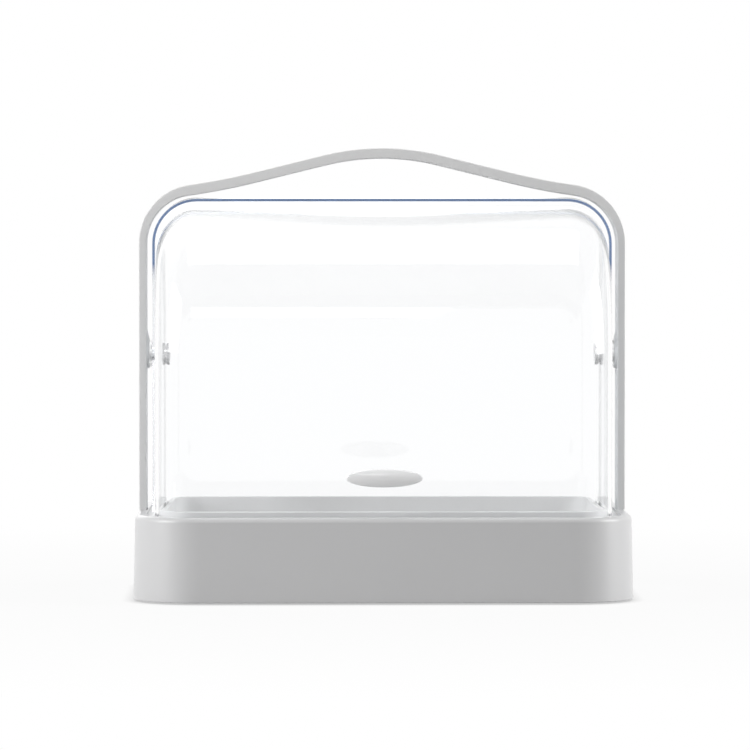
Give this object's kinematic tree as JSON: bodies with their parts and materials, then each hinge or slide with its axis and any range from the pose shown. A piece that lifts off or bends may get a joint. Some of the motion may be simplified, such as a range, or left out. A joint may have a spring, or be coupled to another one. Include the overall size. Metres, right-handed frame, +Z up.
{
  "type": "dustproof makeup organizer",
  "caption": "Clear-domed makeup organizer with a deep white tray base, an arch carrying handle and a front cover that swings up and back.",
  "frame": {"origin": "on the floor under the middle of the base, between the four feet", "axes": "+X along the width, to the right seen from the front; +Y from the front to the rear; +Z up"},
  "size_m": [0.302, 0.201, 0.2735],
  "materials": {
    "base_white": "satin moulded",
    "tray_white": "fine matt texture",
    "plate_white": "matt moulded",
    "arch_white": "satin moulded",
    "clear_rear": "clear polished, edges slightly blue",
    "clear_front": "clear polished",
    "grip_white": "gloss moulded",
    "cap_white": "gloss moulded",
    "nylon": "natural",
    "pin_steel": "turned",
    "screw_steel": "zinc plated",
    "foot_rubber": "matt"
  },
  "bodies": {
    "base": {"base_shell": "base_white", "tray_liner": "tray_white", "base_plate": "plate_white", "plate_screws": "screw_steel", "foot_front_left": "foot_rubber", "foot_front_right": "foot_rubber", "foot_rear_left": "foot_rubber", "foot_rear_right": "foot_rubber", "handle_arch": "arch_white", "arch_screws": "screw_steel", "rear_cover": "clear_rear", "pivot_pin_left": "pin_steel", "pivot_pin_right": "pin_steel", "pivot_cap_left": "cap_white", "pivot_cap_right": "cap_white", "arch_washer_left": "nylon", "arch_washer_right": "nylon", "cover_spacer_left": "nylon", "cover_spacer_right": "nylon", "friction_washer_left": "pin_steel", "friction_washer_right": "pin_steel"},
    "visor": {"front_cover": "clear_front", "cover_grip": "grip_white", "grip_screws": "screw_steel"}
  },
  "joints": [
    {"name": "visor_hinge", "type": "hinge", "parent": "base", "child": "visor", "pos_m": [0, 0, 0.1475], "axis": [-1, 0, 0], "range_deg": [0, 90]}
  ]
}
